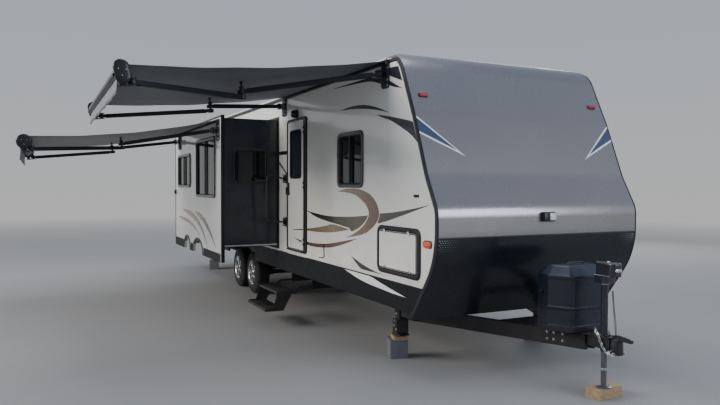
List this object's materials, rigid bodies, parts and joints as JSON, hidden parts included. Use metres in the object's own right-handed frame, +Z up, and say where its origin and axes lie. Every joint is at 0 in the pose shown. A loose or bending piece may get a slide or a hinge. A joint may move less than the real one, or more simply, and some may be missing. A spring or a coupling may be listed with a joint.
{
  "type": "travel caravan",
  "caption": "Long travel caravan on tandem wheels, with a raked front cap, slide-out side room, folding-arm awnings, hinged doors and hatches, steps, drawbar coupler and jacks.",
  "frame": {"origin": "on the ground under the middle of the whole parked object, awnings and steps out", "axes": "+X forward to the hitch, +Y to the left (road) side, +Z up"},
  "size_m": [11.255, 5.8755, 3.422],
  "materials": {
    "wall_white": "glossy pearl white wall panel",
    "cap_pewter": "metallic champagne pewter gelcoat",
    "cap_black": "gloss black gelcoat",
    "roof_membrane": "matt white roof membrane",
    "floor": "floor deck over a closed underbelly",
    "skirt_black": "satin black skirt metal",
    "trim_black": "black frame",
    "pane": "dark tinted glass",
    "chassis_black": "black chassis paint",
    "coupler_black": "black coupler paint",
    "axle_black": "black axle paint",
    "concrete": null,
    "timber": "sawn softwood",
    "jack_black": "black jack, bright fittings",
    "cover_black": "dark moulded cover",
    "bumper_black": "black bumper tube",
    "roof_unit_white": "moulded white housing",
    "lamp_red": "red and amber lenses",
    "awning_metal": "black coated aluminium",
    "awning_cloth": "grey woven acrylic canopy cloth",
    "roller_cloth": "rolled canopy cloth with a dark front bar",
    "room_white": "glossy white outer wall",
    "room_end_black": "gloss black end wall",
    "door_white": "glossy white door",
    "step_black": "black step metal",
    "handle_black": "black tube",
    "tyre": "black tyre",
    "rim": "silver alloy rim"
  },
  "bodies": {
    "caravan": {"front_cap_upper": "cap_pewter", "front_cap_lower": "cap_black", "roof_panel": "roof_membrane", "rear_wall": "wall_white", "wall_right": "wall_white", "wall_left": "wall_white", "floor_panel": "floor", "body_skirts": "skirt_black", "window_frames": "trim_black", "window_panes": "pane", "door_frames": "trim_black", "chassis_frame": "chassis_black", "coupler": "coupler_black", "axles_and_springs": "axle_black", "concrete_blocks": "concrete", "wood_blocks": "timber", "drawbar_jack": "jack_black", "gas_bottle_cover": "cover_black", "rear_bumper": "bumper_black", "air_conditioner": "roof_unit_white", "roof_vents": "roof_unit_white", "lamps": "lamp_red", "awning_rail": "awning_metal", "awning_cloth": "awning_cloth"},
    "room": {"room_outer_wall": "room_white", "room_end_walls": "room_end_black", "room_roof_and_floor": "room_white", "room_window_frames": "trim_black", "room_window_panes": "pane", "room_awning_rail": "awning_metal", "room_awning_cloth": "awning_cloth"},
    "entry_door": {"entry_door": "door_white", "entry_door_pane": "pane"},
    "baggage_door_right": {"baggage_door_right": "door_white"},
    "baggage_door_left": {"baggage_door_left": "door_white"},
    "entry_steps": {"entry_steps": "step_black"},
    "grab_handle": {"grab_handle": "handle_black"},
    "drawbar_jack_leg": {"drawbar_jack_leg": "jack_black"},
    "wheel_front_right": {"tyre_front_right": "tyre", "rim_front_right": "rim"},
    "wheel_front_left": {"tyre_front_left": "tyre", "rim_front_left": "rim"},
    "wheel_rear_right": {"tyre_rear_right": "tyre", "rim_rear_right": "rim"},
    "wheel_rear_left": {"tyre_rear_left": "tyre", "rim_rear_left": "rim"},
    "stabiliser_front_right": {"stabiliser_leg_front_right": "jack_black"},
    "stabiliser_front_left": {"stabiliser_leg_front_left": "jack_black"},
    "stabiliser_rear_right": {"stabiliser_leg_rear_right": "jack_black"},
    "stabiliser_rear_left": {"stabiliser_leg_rear_left": "jack_black"},
    "awning_inner_front": {"awning_inner_arm_front": "awning_metal"},
    "awning_outer_front": {"awning_outer_arm_front": "awning_metal"},
    "awning_inner_rear": {"awning_inner_arm_rear": "awning_metal"},
    "awning_outer_rear": {"awning_outer_arm_rear": "awning_metal"},
    "awning_roller": {"awning_roller": "roller_cloth"},
    "room_awning_inner_front": {"room_awning_inner_arm_front": "awning_metal"},
    "room_awning_outer_front": {"room_awning_outer_arm_front": "awning_metal"},
    "room_awning_inner_rear": {"room_awning_inner_arm_rear": "awning_metal"},
    "room_awning_outer_rear": {"room_awning_outer_arm_rear": "awning_metal"},
    "room_awning_roller": {"room_awning_roller": "roller_cloth"}
  },
  "joints": [
    {"name": "wheel_front_right_spin", "type": "hinge", "parent": "caravan", "child": "wheel_front_right", "pos_m": [-1.3065, 0.65425, 0.35], "axis": [0, 1, 0], "continuous": true},
    {"name": "wheel_front_left_spin", "type": "hinge", "parent": "caravan", "child": "wheel_front_left", "pos_m": [-1.3065, 2.72625, 0.35], "axis": [0, 1, 0], "continuous": true},
    {"name": "wheel_rear_right_spin", "type": "hinge", "parent": "caravan", "child": "wheel_rear_right", "pos_m": [-2.1615, 0.65425, 0.35], "axis": [0, 1, 0], "continuous": true},
    {"name": "wheel_rear_left_spin", "type": "hinge", "parent": "caravan", "child": "wheel_rear_left", "pos_m": [-2.1615, 2.72625, 0.35], "axis": [0, 1, 0], "continuous": true},
    {"name": "entry_door_hinge", "type": "hinge", "parent": "caravan", "child": "entry_door", "pos_m": [1.3555, 0.44275, 1.83], "axis": [0, 0, 1], "range_deg": [0, 115]},
    {"name": "baggage_door_right_hinge", "type": "hinge", "parent": "caravan", "child": "baggage_door_right", "pos_m": [3.858, 0.44775, 1.385], "axis": [-1, 0, 0], "range_deg": [0, 105]},
    {"name": "baggage_door_left_hinge", "type": "hinge", "parent": "caravan", "child": "baggage_door_left", "pos_m": [3.858, 2.93275, 1.385], "axis": [1, 0, 0], "range_deg": [0, 105]},
    {"name": "room_slide", "type": "slide", "parent": "caravan", "child": "room", "axis": [0, 1, 0], "range_m": [0, 0.79]},
    {"name": "entry_steps_slide", "type": "slide", "parent": "caravan", "child": "entry_steps", "axis": [0, 1, 0], "range_m": [0, 0.6]},
    {"name": "grab_handle_hinge", "type": "hinge", "parent": "caravan", "child": "grab_handle", "pos_m": [0.6175, 0.43625, 1.615], "axis": [0, 0, -1], "range_deg": [0, 90]},
    {"name": "drawbar_jack_lift", "type": "slide", "parent": "caravan", "child": "drawbar_jack_leg", "axis": [0, 0, 1], "range_m": [0, 0.28]},
    {"name": "stabiliser_front_right_hinge", "type": "hinge", "parent": "caravan", "child": "stabiliser_front_right", "pos_m": [3.4475, 0.74025, 0.48], "axis": [0, 1, 0], "range_deg": [0, 90]},
    {"name": "stabiliser_front_left_hinge", "type": "hinge", "parent": "caravan", "child": "stabiliser_front_left", "pos_m": [3.4475, 2.64025, 0.48], "axis": [0, 1, 0], "range_deg": [0, 90]},
    {"name": "stabiliser_rear_right_hinge", "type": "hinge", "parent": "caravan", "child": "stabiliser_rear_right", "pos_m": [-4.7225, 0.74025, 0.48], "axis": [0, 1, 0], "range_deg": [0, 90]},
    {"name": "stabiliser_rear_left_hinge", "type": "hinge", "parent": "caravan", "child": "stabiliser_rear_left", "pos_m": [-4.7225, 2.64025, 0.48], "axis": [0, 1, 0], "range_deg": [0, 90]},
    {"name": "awning_fold", "type": "hinge", "parent": "caravan", "child": "awning_inner_front", "pos_m": [3.6025, 0.39025, 2.94], "axis": [0, 0.0828, -0.9966], "range_deg": [0, 50], "deforming": ["awning_cloth"]},
    {"name": "awning_elbow_front", "type": "hinge", "parent": "awning_inner_front", "child": "awning_outer_front", "pos_m": [2.78299, -0.78975, 2.842], "axis": [0, 0.0828, -0.9966], "range_deg": [-100, 0]},
    {"name": "awning_wrist_front", "type": "hinge", "parent": "awning_outer_front", "child": "awning_roller", "pos_m": [3.6025, -1.96975, 2.744], "axis": [0, 0.0828, -0.9966], "range_deg": [0, 50]},
    {"name": "awning_shoulder_rear", "type": "hinge", "parent": "caravan", "child": "awning_inner_rear", "pos_m": [0.5675, 0.39025, 2.94], "axis": [0, 0.0828, -0.9966], "range_deg": [-50, 0]},
    {"name": "awning_elbow_rear", "type": "hinge", "parent": "awning_inner_rear", "child": "awning_outer_rear", "pos_m": [1.38701, -0.78975, 2.842], "axis": [0, 0.0828, -0.9966], "range_deg": [0, 100]},
    {"name": "room_awning_fold", "type": "hinge", "parent": "room", "child": "room_awning_inner_front", "pos_m": [0.1475, -0.45575, 2.6], "axis": [0, 0.1159, -0.9933], "range_deg": [0, 49], "deforming": ["room_awning_cloth"]},
    {"name": "room_awning_elbow_front", "type": "hinge", "parent": "room_awning_inner_front", "child": "room_awning_outer_front", "pos_m": [-0.59988, -1.61275, 2.465], "axis": [0, 0.1159, -0.9933], "range_deg": [-98, 0]},
    {"name": "room_awning_wrist_front", "type": "hinge", "parent": "room_awning_outer_front", "child": "room_awning_roller", "pos_m": [0.1475, -2.76975, 2.33], "axis": [0, 0.1159, -0.9933], "range_deg": [0, 49]},
    {"name": "room_awning_shoulder_rear", "type": "hinge", "parent": "room", "child": "room_awning_inner_rear", "pos_m": [-2.6925, -0.45575, 2.6], "axis": [0, 0.1159, -0.9933], "range_deg": [-49, 0]},
    {"name": "room_awning_elbow_rear", "type": "hinge", "parent": "room_awning_inner_rear", "child": "room_awning_outer_rear", "pos_m": [-1.94512, -1.61275, 2.465], "axis": [0, 0.1159, -0.9933], "range_deg": [0, 98]}
  ],
  "couplings": [
    {"joint": "awning_elbow_front", "follows": "awning_fold", "ratio": -2},
    {"joint": "awning_wrist_front", "follows": "awning_fold", "ratio": 1},
    {"joint": "awning_shoulder_rear", "follows": "awning_fold", "ratio": -1},
    {"joint": "awning_elbow_rear", "follows": "awning_fold", "ratio": 2},
    {"joint": "room_awning_elbow_front", "follows": "room_awning_fold", "ratio": -2},
    {"joint": "room_awning_wrist_front", "follows": "room_awning_fold", "ratio": 1},
    {"joint": "room_awning_shoulder_rear", "follows": "room_awning_fold", "ratio": -1},
    {"joint": "room_awning_elbow_rear", "follows": "room_awning_fold", "ratio": 2}
  ]
}
